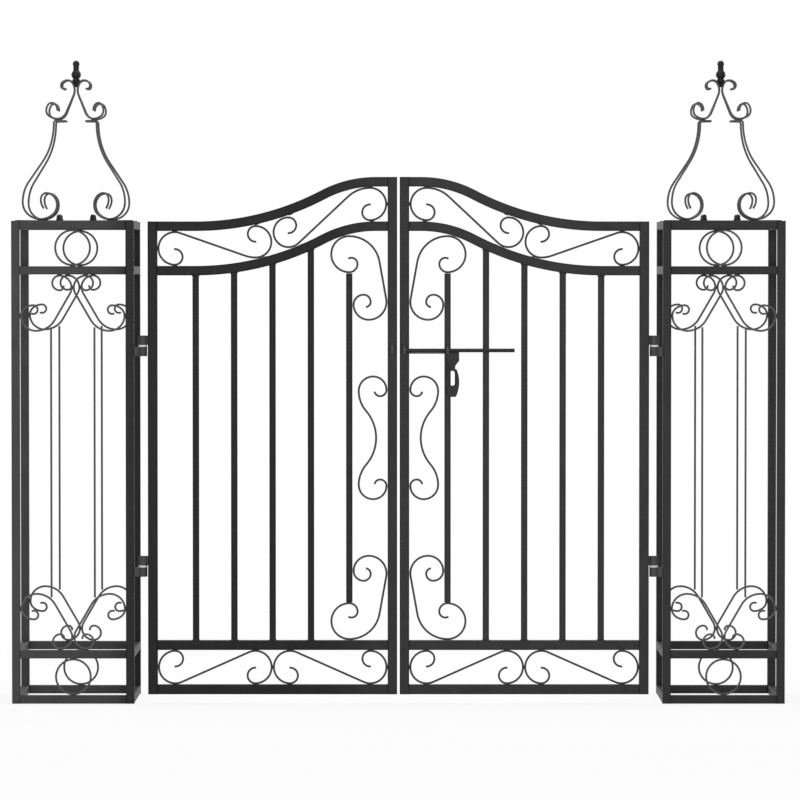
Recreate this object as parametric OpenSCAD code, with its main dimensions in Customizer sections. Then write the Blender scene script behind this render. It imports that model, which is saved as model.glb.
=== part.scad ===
// Double-leaf ornamental garden gate between two open box pillars.
// X runs along the gate, Y from its front to its back, and Z is up, in millimetres.
// The origin is under the middle of the left pillar's front base rail.
// Every sub-part is drawn for the left half, and the right half mirrors it.

/* [Pillars] */
// Width and depth of a pillar
pillar_w = 193; // [175:1:220]
// Height of a pillar's frame
pillar_h = 762; // [700:1:850]
// Side of the square tube in a pillar
pillar_tube = 13; // [11:0.5:16]
// Corner radius of every square tube
tube_corner = 1.2; // [0.6:0.2:2]
// Clear height of the bays that hold the rings
ring_bay = 58.5; // [48:0.5:70]

/* [Wire work] */
// Diameter of the round wire in scrolls, rings and rods
wire_d = 3.3; // [2.6:0.1:4]
// Room for the weld where a wire meets a bar
weld_gap = 0.2; // [0.1:0.05:0.3]

/* [Pillar panels] */
// Height of a panel scroll
panel_scroll_h = 90.5; // [82:0.5:110]
// Outer radius of a panel scroll's head, at the middle of the panel
panel_head_r = 20.5; // [18:0.5:23]
// Outer radius of the curl in the head
panel_head_curl_r = 13.2; // [11:0.2:15]
// Outer radius of a panel scroll's sweep, over the rod
panel_sweep_r = 35.5; // [32:0.5:40]
// Outer radius of a panel scroll's belly, beside the post
panel_belly_r = 25.5; // [23:0.5:28]
// Rise of the belly's shoulder
panel_shoulder_h = 16.5; // [13:0.5:19]
// Width of the belly's shoulder
panel_shoulder_w = 19.5; // [17:0.5:22]
// Outer radius of the curl in the belly
panel_belly_curl_r = 8.5; // [7:0.5:9.5]
// Distance of a panel's rods from its middle line
panel_rod_x = 34.2; // [32:0.2:37]

/* [Crown] */
// Thickness of the flat cross under a crown
cross_t = 1.5; // [1:0.5:4]
// Width of the cross's flats
cross_w = 14; // [10:1:20]
// Angle of the cross's flats to the gate's line
crown_angle = 36; // [32:1:45]
// Distance of an arm's foot from the pillar's axis
foot_reach = 68; // [62:1:78]
// Reach of an arm at its widest
arm_reach = 100; // [92:1:110]
// Height of an arm's widest point
arm_wide_h = 28.5; // [24:0.5:34]
// Bend radius of an arm's belly
arm_belly_r = 51.5; // [46:0.5:58]
// Bend radius of an arm's neck
arm_neck_r = 100; // [90:1:108]
// Reach of an arm at its neck
neck_reach = 42; // [37:1:48]
// Height of the ledge that an arm ends in
ledge_h = 158; // [145:1:175]
// Reach of the ledge's inner end
ledge_reach = 19.5; // [15:0.5:24]
// Bend radius between the neck and the ledge
ledge_bend_r = 4; // [3:0.5:6]
// Width of the curl at an arm's foot
foot_curl_w = 30; // [25:0.5:32]
// Height of the curl at an arm's foot
foot_curl_h = 41.5; // [36:0.5:48]
// How far the foot's curl reaches in from the foot
foot_curl_in = 31.5; // [28:0.5:37]
// Reach of an upper scroll where it stands on its ledge
top_scroll_reach = 36; // [31:1:41]
// Bend radius of an upper scroll over its ledge
top_scroll_r = 19.5; // [16:0.5:24]
// Rise of an upper scroll from its ledge to the crown's waist
top_scroll_rise = 46; // [40:1:52]
// Width of an upper scroll's curl over the ledge
top_curl_w = 20; // [16:0.5:24]
// Height of an upper scroll's curl over the ledge
top_curl_h = 25; // [21:0.5:30]
// Width of the lily at the top of an upper scroll
lily_w = 25.5; // [22:0.5:30]
// Rise of the lily above the crown's waist
lily_rise = 15.5; // [13.5:0.1:18]

/* [Finial] */
// Diameter of a finial's ball
finial_ball_d = 15.5; // [13:0.5:18]
// Diameter of a finial's upper knob
finial_knob_d = 11; // [9:0.5:12.5]
// Height of a finial above the crown
finial_h = 30; // [27:0.5:36]

/* [Leaves] */
// Width of a leaf
leaf_w = 393; // [370:0.5:420]
// Height of a leaf at its lock stile
leaf_h = 816; // [780:1:860]
// How much the lock stile stands above the hinge stile
leaf_rise = 70; // [55:1:85]
// Side of the square tube in a leaf's frame
leaf_tube = 15; // [12:0.5:18]
// Side of the square balusters
baluster_w = 10; // [8:0.5:12]
// Number of spaces that the balusters divide a leaf into
baluster_spaces = 6; // [5:1:7]
// Space under a leaf
ground_gap = 15; // [10:1:30]
// Space between the two leaves
meeting_gap = 4; // [4:0.5:8]
// Clear height of the bands that hold the long scrolls
band_h = 55; // [48:0.5:62]
// Share of a leaf's clear width that the double bend of its curved rails takes
curve_share = 0.782; // [0.72:0.002:0.82]
// Share of the double bend that is the hollow bend
curve_hollow_share = 0.71; // [0.65:0.01:0.75]
// Level stretch of the curved rails beside the lock stile
lock_flat = 19; // [12:1:30]

/* [Leaf scrolls] */
// Outer radius of the curls in the long scrolls
band_curl_r = 14; // [11:0.1:16]
// Outer radius of the sweep into the second roll of a band scroll
band_sweep_r = 52; // [42:1:60]
// Height of the bracket scrolls at the ends of the short baluster
bracket_h = 135; // [125:1:150]
// Outer radius of a bracket's head
bracket_head_r = 30; // [26:0.5:33]
// Outer radius of a bracket's shoulder
bracket_shoulder_r = 50; // [45:0.5:54]
// Share of the bay beside the lock stile that is the radius of a bracket's heel
bracket_heel_share = 0.534; // [0.5:0.002:0.56]
// Height of the middle bracket
mid_bracket_h = 197; // [175:1:220]
// Share of the bay beside the lock stile that the middle bracket takes
mid_bracket_share = 0.848; // [0.76:0.002:0.9]
// Share of that bay between the middle bracket's waist and the lock stile
mid_waist_share = 0.298; // [0.22:0.002:0.36]

/* [Hinges] */
// Space between a pillar and its leaf
hinge_gap = 22; // [21:0.5:26]
// Distance of the hinge axis from the leaf's edge
hinge_axis_off = 8.2; // [7.5:0.1:9]
// Height of the lower hinge
hinge_low_z = 217; // [180:1:260]
// Height of the upper hinge
hinge_high_z = 565; // [520:1:620]
// Diameter of a hinge knuckle
knuckle_d = 14; // [11:0.2:14.4]
// Height of a hinge knuckle
knuckle_h = 14.6; // [12:0.2:17]
// Thickness of the tab that carries a knuckle
hinge_tab_t = 6; // [4:0.5:8]
// Diameter of a hinge pin
pin_d = 6; // [5:0.5:7]
// Length of pin inside the leaf's knuckle
pin_reach = 10; // [8:0.5:10.5]
// Clearance around a hinge pin
pin_clear = 0.1; // [0.05:0.01:0.1]
// Thickness of a hinge washer
washer_t = 3; // [2:0.5:4]

/* [Bolt] */
// Diameter of the bolt rod
rod_d = 6; // [5:0.5:8]
// Length of the bolt rod
rod_len = 180; // [160:1:200]
// Height of the bolt rod
rod_z = 558; // [530:1:600]
// Set-back of the drawn rod's tip from the lock stile's edge
rod_setback = 1; // [0.5:0.5:2]
// Clearance of the rod in its guides
guide_clear = 0.8; // [0.5:0.1:0.9]
// Clearance of the rod in its keeper
keeper_clear = 1.5; // [1.2:0.1:2]
// Thickness of the guides and the keeper
guide_t = 2; // [1.5:0.5:3]
// Width of the guides and the keeper
guide_w = 4; // [3:0.5:6]
// Thickness of the handle plate
handle_t = 3; // [2:0.5:3.5]
// Width of the handle plate
handle_w = 21.4; // [18:0.2:25]
// Length of the handle plate
handle_len = 70; // [62:1:80]
// Width of the handle's neck
handle_neck_w = 9; // [7:0.5:11]
// Distance of the handle's middle from the rod's tip
handle_off = 82; // [76:1:90]
// Width of the slot in the handle
slot_w = 8; // [6:0.5:9]
// Length of the slot in the handle
slot_len = 24; // [20:1:28]

/* [Hidden] */
$fn = 64;
iron = [0.17, 0.17, 0.18];
nylon = [0.9, 0.9, 0.88];

wire_r = wire_d / 2;
joint_line = 0.04;
core_len = 1;

// Pillar frame
post_off = (pillar_w - pillar_tube) / 2;
pillar_clear = pillar_w / 2 - pillar_tube;
back_y = pillar_w - pillar_tube;
panel_low = 2 * pillar_tube + ring_bay;
panel_high = pillar_h - panel_low;
rail_levels = [0, pillar_tube + ring_bay, panel_high, pillar_h - pillar_tube];
ring_r = ring_bay / 2 - weld_gap - wire_r;
ring_levels = [pillar_tube + ring_bay / 2, pillar_h - pillar_tube - ring_bay / 2];

// Panel scroll, measured outwards and down from the top of the panel's middle line
head_r = panel_head_r - wire_r;
sweep_r = panel_sweep_r - wire_r;
belly_r = panel_belly_r - wire_r;
head_at = [weld_gap / 2 + panel_head_r, -weld_gap - panel_head_r];
sweep_at = [pillar_clear - weld_gap - panel_belly_r, panel_sweep_r - panel_scroll_h];
panel_slope = run_heading(head_at, head_r, sweep_at, sweep_r);
rod_under_sweep = sweep_at.x - panel_rod_x - wire_r;
panel_rod_drop = sqrt(pow(panel_sweep_r + weld_gap, 2) - pow(rod_under_sweep, 2)) - sweep_at.y;

// Crown, measured from the top of the cross
crown_z = pillar_h + cross_t;
cross_in = (pillar_tube + cross_w * 2 * sin(crown_angle)) / 2;
cross_len = (pillar_w - cross_in) / cos(crown_angle);
crown_turns = [crown_angle, 180 - crown_angle, 180 + crown_angle, 360 - crown_angle];
foot_at = [foot_reach, weld_gap + wire_r];
top_scroll_at = [top_scroll_reach, ledge_h + wire_d + weld_gap];
waist_reach = (wire_r + weld_gap / 2) / sin(crown_angle);
waist_h = top_scroll_at.y + top_scroll_rise;
lily_bend_r = quarter(lily_rise, lily_w / 2, 1)[0][0];

// Leaf frame, measured from the leaf's hinge edge
leaf_x = pillar_w / 2 + hinge_gap;
gate_mid = leaf_x + leaf_w + meeting_gap / 2;
clear_x = leaf_w - leaf_tube;
clear_w = leaf_w - 2 * leaf_tube;
clear_mid = leaf_w / 2;
baluster_pitch = clear_w / baluster_spaces;
short_x = baluster_x(baluster_spaces - 1);
low_rail_z = ground_gap + leaf_tube + band_h;
baluster_z = low_rail_z + leaf_tube;
hinge_stile_top = ground_gap + leaf_h - leaf_rise;
lock_stile_top = ground_gap + leaf_h;

// Curved rails: a hollow bend, then a round one, and the second rail is the top rail let down
rail_drop = leaf_tube + band_h;
curve_run = curve_share * clear_w;
curve_angle = 2 * atan2(leaf_rise, curve_run);
hollow_r = curve_hollow_share * curve_run / sin(curve_angle);
round_r = (1 - curve_hollow_share) * curve_run / sin(curve_angle);
curve_x = clear_x - lock_flat - curve_run;
rail_low_z = hinge_stile_top - leaf_tube / 2;
rail_high_z = lock_stile_top - leaf_tube / 2;
hollow_at = [curve_x, rail_low_z + hollow_r];
round_at = [clear_x - lock_flat, rail_high_z - round_r];
drop = [0, rail_drop];

// Long scrolls: rolls that fill the bands
flat_roll_r = band_h / 2 - weld_gap;
foot_mid_z = ground_gap + leaf_tube + band_h / 2;
stile_roll_x = leaf_tube + weld_gap + flat_roll_r;
stile_roll_at = [stile_roll_x, rail_low_z - rail_drop / 2];
foot_roll_at = [stile_roll_x, foot_mid_z];
foot_mid_roll_at = [clear_mid - weld_gap / 2 - flat_roll_r, foot_mid_z];
mid_roll_r = roll_r_under_hollow(roll_at(clear_mid - band_h / 2));
mid_roll_at = roll_at(clear_mid - weld_gap / 2 - mid_roll_r);
up_roll_r = roll_r_under_hollow(roll_at(clear_mid + band_h / 2));
up_roll_at = roll_at(clear_mid + weld_gap / 2 + up_roll_r);
end_roll_at = [clear_x - weld_gap - band_h / 2, rail_high_z - rail_drop / 2];
end_roll_r = round_r - leaf_tube / 2 - norm(end_roll_at - round_at) - weld_gap;
band_curl = band_curl_r - wire_r;
band_sweep = band_sweep_r - wire_r;

// Bracket scrolls in the bay between the short baluster and the lock stile
bracket_bay = baluster_pitch - baluster_w / 2;
bracket_heel_r = bracket_heel_share * bracket_bay;
mid_bracket_w = mid_bracket_share * bracket_bay;
bracket_top_r = bracket_head_r - wire_r;
shoulder_r = bracket_shoulder_r - wire_r;
heel_r = bracket_heel_r - wire_r;
round_under_r = round_r - leaf_tube / 2 - weld_gap - bracket_head_r;
bracket_high_z = round_at.y - rail_drop + sqrt(pow(round_under_r, 2) - pow(round_at.x - short_x, 2));
bracket_low_z = baluster_z + weld_gap + bracket_head_r;
heel_x = clear_x - short_x - weld_gap - bracket_heel_r;
heel_in = clear_x - short_x - baluster_w / 2 - 2 * weld_gap - wire_d - heel_r;
short_low_z = bracket_low_z + bracket_head_r + weld_gap;
short_high_z = bracket_high_z - bracket_head_r - weld_gap;
mid_bracket_span = mid_bracket_w - wire_d;
mid_bracket_far = weld_gap + mid_bracket_w - wire_r;
mid_bracket_round = 0.52 * mid_bracket_span;
mid_bracket_rise = mid_bracket_h / 2 - wire_r - mid_bracket_round;
mid_waist = mid_waist_share * bracket_bay + wire_r;

// Hinges
hinge_x = leaf_x - hinge_axis_off;
hinge_levels = [hinge_low_z, hinge_high_z];
seat = washer_t / 2 + weld_gap;

// Bolt
guide_in = rod_d + 2 * guide_clear;
guide_floor = rod_d / 2 + 0.3;
rod_y = -leaf_tube / 2 - guide_t - guide_in / 2;
rod_x = gate_mid + meeting_gap / 2 + rod_setback;
handle_x = rod_x + handle_off;
handle_top_z = rod_z - rod_d / 2 - weld_gap;
handle_slit = handle_t + 2;
lock_guide_x = gate_mid + meeting_gap / 2 + leaf_tube / 2;
short_guide_x = 2 * gate_mid - leaf_x - short_x;
keeper_x = gate_mid - meeting_gap / 2 - leaf_tube / 2;

// Heading of the straight run between a bend about c1 and a bend about c2.
// A bend to the left has a positive radius, and one to the right a negative radius.
function run_heading(c1, r1, c2, r2) =
    atan2(c2.y - c1.y, c2.x - c1.x) - asin((r2 - r1) / norm(c2 - c1));

// Length of that straight run
function run_length(c1, r1, c2, r2) = sqrt(pow(norm(c2 - c1), 2) - pow(r2 - r1, 2));

// Two bends that make an oval quarter turn, which goes ahead and across by the given amounts.
// The side is 1 for a turn to the left and -1 for one to the right.
function quarter(ahead, across, side) =
    let (n = norm([ahead, across]), k = n / (ahead + across - n), a = atan2(across, ahead))
    [[k * (n - across), side * a], [k * (n - ahead), side * (90 - a)]];

// Two bends that move a wire across and leave it on its old heading
function double_bend(ahead, across, share, side) =
    let (a = 2 * atan2(across, ahead), r = ahead / sin(a))
    [[share * r, side * a], [(1 - share) * r, -side * a]];

// Place and heading after one bend, where a bend of radius 0 is a straight run
function after(at, bend) =
    let (h = at.z + bend[1], s = sign(bend[1]) * bend[0])
    bend[0] == 0
    ? [at.x + bend[1] * cos(at.z), at.y + bend[1] * sin(at.z), at.z]
    : [at.x + s * (sin(h) - sin(at.z)), at.y - s * (cos(h) - cos(at.z)), h];

// Places and headings at which the bends start
function bend_starts(at, bends) =
    [for (i = 0, p = at; i < len(bends); p = after(p, bends[i]), i = i + 1) p];

// The same bend run from its other end
function reversed(bend) = bend[0] == 0 ? bend : [bend[0], -bend[1]];

// Centre of a roll in the curved band, on its hollow stretch
function roll_at(x) =
    [x, hollow_at.y - sqrt(pow(hollow_r, 2) - pow(x - curve_x, 2)) - rail_drop / 2];

// Outer radius of the roll that fills the curved band about a centre on its hollow stretch
function roll_r_under_hollow(c) =
    let (top = norm(c - hollow_at) - hollow_r, foot = hollow_r - norm(c - hollow_at + drop))
    min(top, foot) - leaf_tube / 2 - weld_gap;

// Mirrors a sub-part of the left half into the right half
module right_half() {
    translate([2 * gate_mid, 0, 0])
        mirror([1, 0, 0])
            children();
}

// Section of a square tube with rounded corners
module tube_section(side) {
    polygon([
        for (turn = [0 : 90 : 270], bend = [0 : 30 : 90])
            let (a = turn + bend, mid = (side / 2 - tube_corner) * sqrt(2))
            [
                mid * cos(turn + 45) + tube_corner * cos(a),
                mid * sin(turn + 45) + tube_corner * sin(a)
            ]
    ]);
}

// Straight tubes along X, Y and Z, from the middle of their first end
module tube_x(side, length) {
    rotate([90, 0, 90])
        linear_extrude(length)
            tube_section(side);
}

module tube_y(side, length) {
    rotate([-90, 0, 0])
        linear_extrude(length)
            tube_section(side);
}

module tube_z(side, length) {
    linear_extrude(length)
        tube_section(side);
}

// One bend of a profile that starts at the origin and heads along X.
// It stops short of both its ends by half the width of a joint line.
module one_bend(bend, line) {
    r = bend[0];
    cut = r == 0 ? line / 2 : line / 2 / r * 180 / PI;
    a = abs(bend[1]) - 2 * cut;
    if (r == 0)
        translate([cut, 0, 0])
            rotate([90, 0, 90])
                linear_extrude(a)
                    children();
    else
        translate([0, sign(bend[1]) * r, 0])
            rotate([0, 0, bend[1] > 0 ? cut - 90 : 90 - cut - a])
                rotate_extrude(angle = a)
                    translate([r, 0])
                        children();
}

// A profile swept in the XZ plane from a start and a heading along its bends.
// A round core carries it across the joint lines between the bends.
module bent_bar(start, heading, bends, line, core_d) {
    at = bend_starts([start.x, start.y, heading], bends);
    rotate([90, 0, 0])
        for (i = [0 : len(bends) - 1])
            translate([at[i].x, at[i].y, 0])
                rotate([0, 0, at[i].z]) {
                    one_bend(bends[i], line)
                        children();
                    if (i > 0 && line > 0)
                        rotate([0, 90, 0])
                            cylinder(d = core_d, h = core_len, center = true);
                }
}

// A wire that runs both ways from a point on it: ahead along one list of bends, back along another
module bent_wire(from, heading, ahead, back) {
    far = bend_starts([from.x, from.y, heading + 180], concat(back, [[0, 0]]))[len(back)];
    turned = [for (i = [len(back) - 1 : -1 : 0]) reversed(back[i])];
    bent_bar([far.x, far.y], far.z + 180, concat(turned, ahead), joint_line, wire_d / 2)
        circle(d = wire_d);
}

module pillar_posts() {
    color(iron)
        for (x = [-post_off, post_off], y = [0, back_y])
            translate([x, y, 0])
                tube_z(pillar_tube, pillar_h);
}

module pillar_face_rails() {
    color(iron)
        for (y = [0, back_y], z = rail_levels)
            translate([-pillar_clear, y, z + pillar_tube / 2])
                tube_x(pillar_tube, 2 * pillar_clear);
}

module pillar_side_rails() {
    color(iron)
        for (x = [-post_off, post_off], z = rail_levels)
            translate([x, pillar_tube / 2, z + pillar_tube / 2])
                tube_y(pillar_tube, 2 * pillar_clear);
}

// Upper right-hand scroll of a panel
module panel_scroll() {
    start = head_at + [0, head_r];
    run = run_length(head_at, head_r, sweep_at, sweep_r);
    curl_r = panel_head_curl_r - wire_r;
    bent_wire(start, 180, concat(
        [[head_r, 180 + panel_slope], [0, run], [sweep_r, -panel_slope], [belly_r, 90]],
        quarter(panel_shoulder_h, panel_shoulder_w, 1),
        [[panel_belly_curl_r - wire_r, 210]]
    ), [[curl_r, -180], [0.55 * curl_r, -100]]);
}

// Two rods between two pairs of scrolls
module panel() {
    panel_mid = (panel_low + panel_high) / 2;
    color(iron)
        translate([0, 0, panel_mid])
            for (mx = [0, 1]) mirror([mx, 0, 0]) {
                for (mz = [0, 1]) mirror([0, 0, mz])
                    translate([0, 0, panel_high - panel_mid])
                        panel_scroll();
                translate([panel_rod_x, 0, panel_mid - panel_high + panel_rod_drop])
                    cylinder(d = wire_d, h = panel_high - panel_low - 2 * panel_rod_drop);
            }
}

module back_panel() {
    translate([0, back_y, 0])
        panel();
}

module pillar_rings() {
    color(iron)
        for (y = [0, back_y], z = ring_levels)
            translate([0, y, z])
                rotate([90, 0, 0])
                    rotate_extrude()
                        translate([ring_r, 0])
                            circle(d = wire_d);
}

// Flat cross that lies on the corners of a pillar's top frame
module crown_cross() {
    color(iron)
        translate([0, back_y / 2, pillar_h])
            for (a = [crown_angle, -crown_angle])
                rotate([0, 0, a])
                    translate([-cross_len / 2, -cross_w / 2, 0])
                        cube([cross_len, cross_w, cross_t]);
}

// One arm in the XZ plane, from the curl at its foot to its ledge
module crown_arm() {
    neck_h = ledge_h - ledge_bend_r;
    side_h = 0.55 * foot_curl_h;
    belly_mid = [arm_reach - arm_belly_r, arm_wide_h];
    neck_mid = [neck_reach + arm_neck_r, neck_h];
    lean = run_heading(belly_mid, arm_belly_r, neck_mid, -arm_neck_r);
    bent_wire(foot_at, 0, concat(
        quarter(arm_reach - foot_reach, arm_wide_h - foot_at.y, 1),
        [
            [arm_belly_r, lean - 90],
            [0, run_length(belly_mid, arm_belly_r, neck_mid, -arm_neck_r)],
            [arm_neck_r, 90 - lean],
            [ledge_bend_r, 90],
            [0, neck_reach - ledge_bend_r - ledge_reach]
        ]
    ), concat(
        quarter(foot_curl_in, side_h, -1),
        quarter(foot_curl_h - side_h, 0.65 * foot_curl_w, -1),
        quarter(0.35 * foot_curl_w, 0.25 * foot_curl_h, -1),
        [[0.5 * foot_curl_h, -42]]
    ));
}

// One upper scroll in the XZ plane, from the curl over its ledge to its share of the lily
module crown_scroll() {
    heel_mid = top_scroll_at + [0, top_scroll_r];
    lily_mid = [waist_reach + lily_bend_r, waist_h];
    lean = run_heading(heel_mid, -top_scroll_r, lily_mid, -lily_bend_r);
    bent_wire(top_scroll_at, 180, concat(
        [
            [top_scroll_r, lean - 180],
            [0, run_length(heel_mid, -top_scroll_r, lily_mid, -lily_bend_r)],
            [lily_bend_r, 90 - lean]
        ],
        quarter(lily_rise, 0.5 * lily_w, -1),
        quarter(0.5 * lily_w, 0.55 * lily_rise, -1),
        [[0.42 * lily_w / 2, -120]]
    ), concat(
        quarter(top_curl_w, 0.5 * top_curl_h, 1),
        quarter(0.5 * top_curl_h, 0.5 * top_curl_w, 1),
        [[0.42 * top_curl_h, 100]]
    ));
}

module crown_arms() {
    color(iron)
        translate([0, back_y / 2, crown_z])
            for (a = crown_turns)
                rotate([0, 0, a]) {
                    crown_arm();
                    crown_scroll();
                }
}

// Two-tier casting: a foot that nests in the lily, a ball, a stem and a knob
module finial() {
    ball_r = finial_ball_d / 2;
    knob_r = finial_knob_d / 2;
    lily_top = lily_rise + wire_r;
    foot_z = 0.3 * lily_rise;
    knob_z = lily_top + finial_h - knob_r;
    color(iron)
        translate([0, back_y / 2, crown_z + waist_h])
            rotate_extrude()
                difference() {
                    union() {
                        translate([0, foot_z])
                            square([0.84 * ball_r, lily_top - foot_z]);
                        translate([0, lily_rise])
                            square([0.85 * knob_r, knob_z - lily_rise]);
                        translate([0, lily_top + 0.95 * ball_r])
                            circle(ball_r);
                        translate([0, knob_z])
                            circle(knob_r);
                    }
                    translate([waist_reach + lily_bend_r, 0])
                        circle(lily_bend_r + wire_r + weld_gap);
                    translate([-finial_ball_d, 0])
                        square([finial_ball_d, lily_top + 2 * finial_h]);
                }
}

// Knuckles with their pins, on the pillar's front post
module hinge_pins() {
    color(iron)
        for (z = hinge_levels)
            translate([hinge_x, 0, z - seat]) {
                translate([0, 0, -knuckle_h])
                    cylinder(d = knuckle_d, h = knuckle_h);
                translate([pillar_w / 2 - hinge_x, -hinge_tab_t / 2, -knuckle_h])
                    cube([hinge_x - pillar_w / 2, hinge_tab_t, knuckle_h]);
                cylinder(d = pin_d, h = 2 * seat + pin_reach);
            }
}

module hinge_washers() {
    color(nylon)
        for (z = hinge_levels)
            translate([hinge_x, 0, z - washer_t / 2])
                difference() {
                    cylinder(d = knuckle_d, h = washer_t);
                    translate([0, 0, -1])
                        cylinder(d = pin_d + 2 * pin_clear, h = washer_t + 2);
                }
}

// Knuckles with blind bores, on the leaf's hinge stile
module leaf_knuckles() {
    color(iron)
        for (z = hinge_levels)
            translate([hinge_x, 0, z + seat])
                difference() {
                    union() {
                        cylinder(d = knuckle_d, h = knuckle_h);
                        translate([0, -hinge_tab_t / 2, 0])
                            cube([hinge_axis_off, hinge_tab_t, knuckle_h]);
                    }
                    translate([0, 0, -1])
                        cylinder(d = pin_d + 2 * pin_clear, h = pin_reach + weld_gap + 1);
                }
}

module leaf_stiles() {
    color(iron) {
        translate([leaf_x + leaf_tube / 2, 0, ground_gap])
            tube_z(leaf_tube, hinge_stile_top - ground_gap);
        translate([leaf_x + clear_x + leaf_tube / 2, 0, ground_gap])
            tube_z(leaf_tube, leaf_h);
    }
}

// Top rail's line of bends, in a profile of any size
module curved_rail(line) {
    bent_bar([leaf_tube, rail_low_z], 0, concat(
        [[0, curve_x - leaf_tube]],
        double_bend(curve_run, leaf_rise, curve_hollow_share, 1),
        [[0, lock_flat]]
    ), line, leaf_tube / 2)
        children();
}

module leaf_top_rail() {
    color(iron)
        translate([leaf_x, 0, 0])
            curved_rail(joint_line)
                tube_section(leaf_tube);
}

module leaf_second_rail() {
    translate([0, 0, -rail_drop])
        leaf_top_rail();
}

module leaf_low_rails() {
    color(iron)
        for (z = [ground_gap, low_rail_z])
            translate([leaf_x + leaf_tube, 0, z + leaf_tube / 2])
                tube_x(leaf_tube, clear_w);
}

// Full balusters are cut to the line of the second rail, and the short one stands between brackets
module leaf_balusters() {
    color(iron)
        translate([leaf_x, 0, 0]) {
            difference() {
                for (i = [1 : baluster_spaces - 2])
                    translate([baluster_x(i), 0, baluster_z])
                        tube_z(baluster_w, baluster_top(i) - baluster_z);
                translate([0, 0, -rail_drop])
                    curved_rail(0)
                        square(leaf_tube + 2 * weld_gap, center = true);
            }
            translate([short_x, 0, short_low_z])
                tube_z(baluster_w, short_high_z - short_low_z);
        }
}

// Middle of a baluster, counted from the hinge stile
function baluster_x(i) = leaf_tube + i * baluster_pitch;

// Height of the second rail's middle line over a baluster
function baluster_top(i) =
    let (x = baluster_x(i), bend_x = curve_x + hollow_r * sin(curve_angle))
    (x < curve_x ? rail_low_z
        : x < bend_x ? hollow_at.y - sqrt(pow(hollow_r, 2) - pow(x - curve_x, 2))
        : round_at.y + sqrt(pow(round_r, 2) - pow(x - round_at.x, 2))) - rail_drop;

// Long scroll from a roll at c1 to a roll at c2, with outer radii r1 and r2.
// The side is 1 where the run between them rises from the foot of the first roll.
// The run bends into the second roll with the radius of the sweep.
module long_scroll(c1, r1, c2, r2, side, sweep) {
    n1 = r1 - wire_r;
    n2 = r2 - wire_r;
    sweep_mid = c2 - [0, side * (sweep - n2)];
    slope = run_heading(c1, side * n1, sweep_mid, -side * sweep);
    start = c1 + [0, side * n1];
    bent_wire(start, 180, [
        [n1, side * 180 + slope],
        [0, run_length(c1, side * n1, sweep_mid, -side * sweep)],
        [sweep, -slope],
        [n2, -side * 180],
        [band_curl, -side * 185]
    ], [[band_curl, -side * 185]]);
}

module leaf_band_scrolls() {
    color(iron)
        translate([leaf_x, 0, 0]) {
            long_scroll(stile_roll_at, flat_roll_r, mid_roll_at, mid_roll_r, -1, band_sweep);
            long_scroll(up_roll_at, up_roll_r, end_roll_at, end_roll_r, 1, band_sweep);
        }
}

module leaf_foot_scrolls() {
    color(iron)
        translate([leaf_x + clear_mid, 0, 0])
            for (m = [0, 1])
                mirror([m, 0, 0])
                    translate([-clear_mid, 0, 0])
                        long_scroll(foot_roll_at, flat_roll_r, foot_mid_roll_at, flat_roll_r, 1,
                            flat_roll_r - wire_r);
}

// Bracket scroll from the middle of its head, with its heel against the lock stile
module bracket() {
    shoulder_at = [0, bracket_top_r - shoulder_r];
    heel_at = [heel_x, bracket_head_r + bracket_heel_r - bracket_h];
    slope = run_heading(shoulder_at, -shoulder_r, heel_at, -heel_r);
    bent_wire([0, bracket_top_r], 0, [
        [shoulder_r, slope],
        [0, run_length(shoulder_at, -shoulder_r, heel_at, -heel_r)],
        [heel_r, -180 - slope],
        [heel_in, -90],
        [0.56 * heel_r, -90],
        [0.4 * heel_r, -90],
        [0.3 * heel_r, -85]
    ], [
        [bracket_top_r, 180],
        [0.46 * bracket_top_r, 90],
        [0.34 * bracket_top_r, 90],
        [0.3 * bracket_top_r, 35]
    ]);
}

// Middle bracket, which runs both ways from its waist, with the lock stile at the origin
module mid_bracket() {
    upper = concat(
        double_bend(mid_bracket_rise, mid_bracket_far - mid_waist, 0.57, 1),
        [
            [mid_bracket_round, -90],
            [mid_bracket_span - mid_bracket_round, -90],
            [0.23 * mid_bracket_span, -90],
            [0.2 * mid_bracket_span, -80]
        ]
    );
    bent_wire([-mid_waist, 0], 90, upper, [for (bend = upper) reversed(bend)]);
}

module leaf_brackets() {
    color(iron)
        translate([leaf_x, 0, 0]) {
            translate([short_x, 0, bracket_high_z])
                bracket();
            translate([short_x, 0, bracket_low_z])
                mirror([0, 0, 1])
                    bracket();
            translate([clear_x, 0, (short_low_z + short_high_z) / 2])
                mid_bracket();
        }
}

// Square eye round the rod, with a slit in its floor that lets the handle by.
// It stands on an upright whose front face is at face_y.
module bolt_eye(clear, face_y) {
    inner = rod_d + 2 * clear;
    front = rod_y - inner / 2 - guide_t;
    floor_z = -guide_floor - guide_t;
    top_z = inner - guide_floor + guide_t;
    translate([guide_w / 2, 0, rod_z])
        rotate([90, 0, -90])
            linear_extrude(guide_w)
                difference() {
                    translate([-face_y, floor_z])
                        square([face_y - front, top_z - floor_z]);
                    translate([-rod_y - inner / 2, -guide_floor])
                        square([inner, inner]);
                    translate([-rod_y - handle_slit / 2, floor_z - 1])
                        square([handle_slit, guide_t + 2]);
                }
}

module bolt_keeper() {
    color(iron)
        translate([keeper_x, 0, 0])
            bolt_eye(keeper_clear, -leaf_tube / 2);
}

module bolt_guides() {
    color(iron) {
        translate([lock_guide_x, 0, 0])
            bolt_eye(guide_clear, -leaf_tube / 2);
        translate([short_guide_x, 0, 0])
            bolt_eye(guide_clear, -baluster_w / 2);
    }
}

module bolt_rod() {
    color(iron)
        translate([rod_x, rod_y, rod_z])
            rotate([0, 90, 0])
                cylinder(d = rod_d, h = rod_len);
}

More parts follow.
